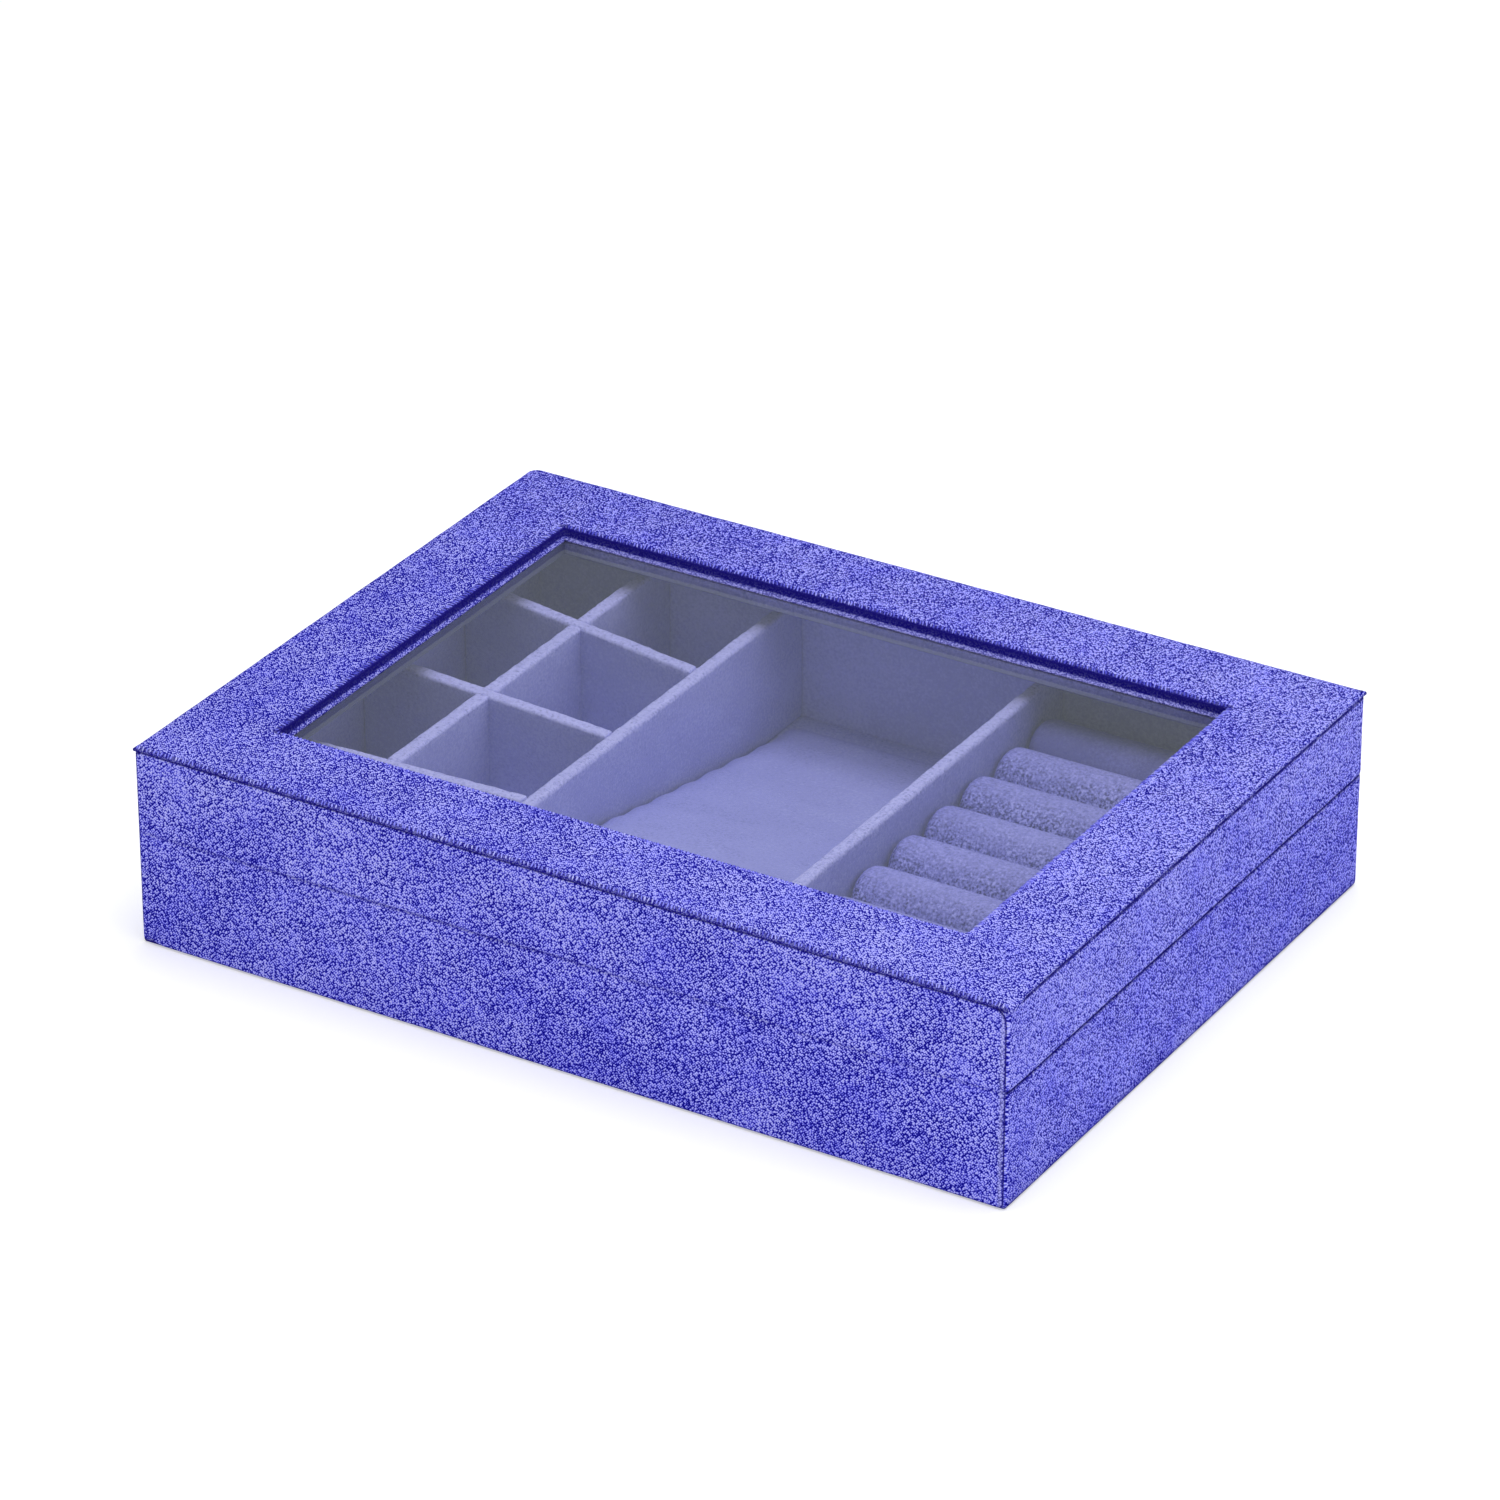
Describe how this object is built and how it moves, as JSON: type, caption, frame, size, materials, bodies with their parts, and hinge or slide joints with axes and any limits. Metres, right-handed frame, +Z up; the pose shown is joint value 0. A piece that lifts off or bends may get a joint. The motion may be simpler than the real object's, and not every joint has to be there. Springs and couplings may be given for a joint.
{
  "type": "velvet jewelry box",
  "caption": "Low velvet-covered jewelry box with a glass window in its cloth-hinged lid, small cells, a sloping display pad and padded ring rolls inside.",
  "frame": {"origin": "middle of the underside, on the surface that the box stands on", "axes": "+X along the long side, +Y from the cloth hinge towards the opening front, +Z up"},
  "size_m": [0.28, 0.208, 0.0624],
  "materials": {
    "outer_velvet": "short pile velvet",
    "lining_velvet": "short pile velvet",
    "padded_velvet": "velvet over foam",
    "board": "raw fibreboard",
    "glass": "clear polished"
  },
  "bodies": {
    "base": {"underside_cloth": "outer_velvet", "bottom_board": "board", "floor_lining": "lining_velvet", "base_front_wall": "board", "base_back_wall": "board", "base_left_wall": "board", "base_right_wall": "board", "base_cover": "outer_velvet", "back_cover_lower": "outer_velvet", "front_lining": "lining_velvet", "back_lining": "lining_velvet", "left_lining": "lining_velvet", "right_lining": "lining_velvet", "left_long_divider": "lining_velvet", "right_long_divider": "lining_velvet", "cell_spine": "lining_velvet", "cell_divider_1": "lining_velvet", "cell_divider_2": "lining_velvet", "cell_divider_3": "lining_velvet", "ring_bed": "padded_velvet", "display_ramp": "padded_velvet", "hinge_cloth": "outer_velvet", "ring_roll_1": "padded_velvet", "ring_roll_2": "padded_velvet", "ring_roll_3": "padded_velvet", "ring_roll_4": "padded_velvet", "ring_roll_5": "padded_velvet", "ring_roll_6": "padded_velvet", "ring_roll_7": "padded_velvet", "ring_roll_8": "padded_velvet", "ring_roll_9": "padded_velvet"},
    "lid": {"glass_pane": "glass", "lid_cover": "outer_velvet", "lid_top_cover": "outer_velvet", "lid_lining": "lining_velvet", "back_cover_upper": "outer_velvet", "lid_front_wall": "board", "lid_front_rail": "board", "glass_retainer_front": "lining_velvet", "lid_back_wall": "board", "lid_back_rail": "board", "glass_retainer_back": "lining_velvet", "lid_left_wall": "board", "lid_left_rail": "board", "glass_retainer_left": "lining_velvet", "lid_right_wall": "board", "lid_right_rail": "board", "glass_retainer_right": "lining_velvet"}
  },
  "joints": [
    {"name": "lid_hinge", "type": "hinge", "parent": "base", "child": "lid", "pos_m": [0, -0.1042, 0.0362], "axis": [1, 0, 0], "range_deg": [0, 180], "deforming": ["hinge_cloth"]}
  ]
}
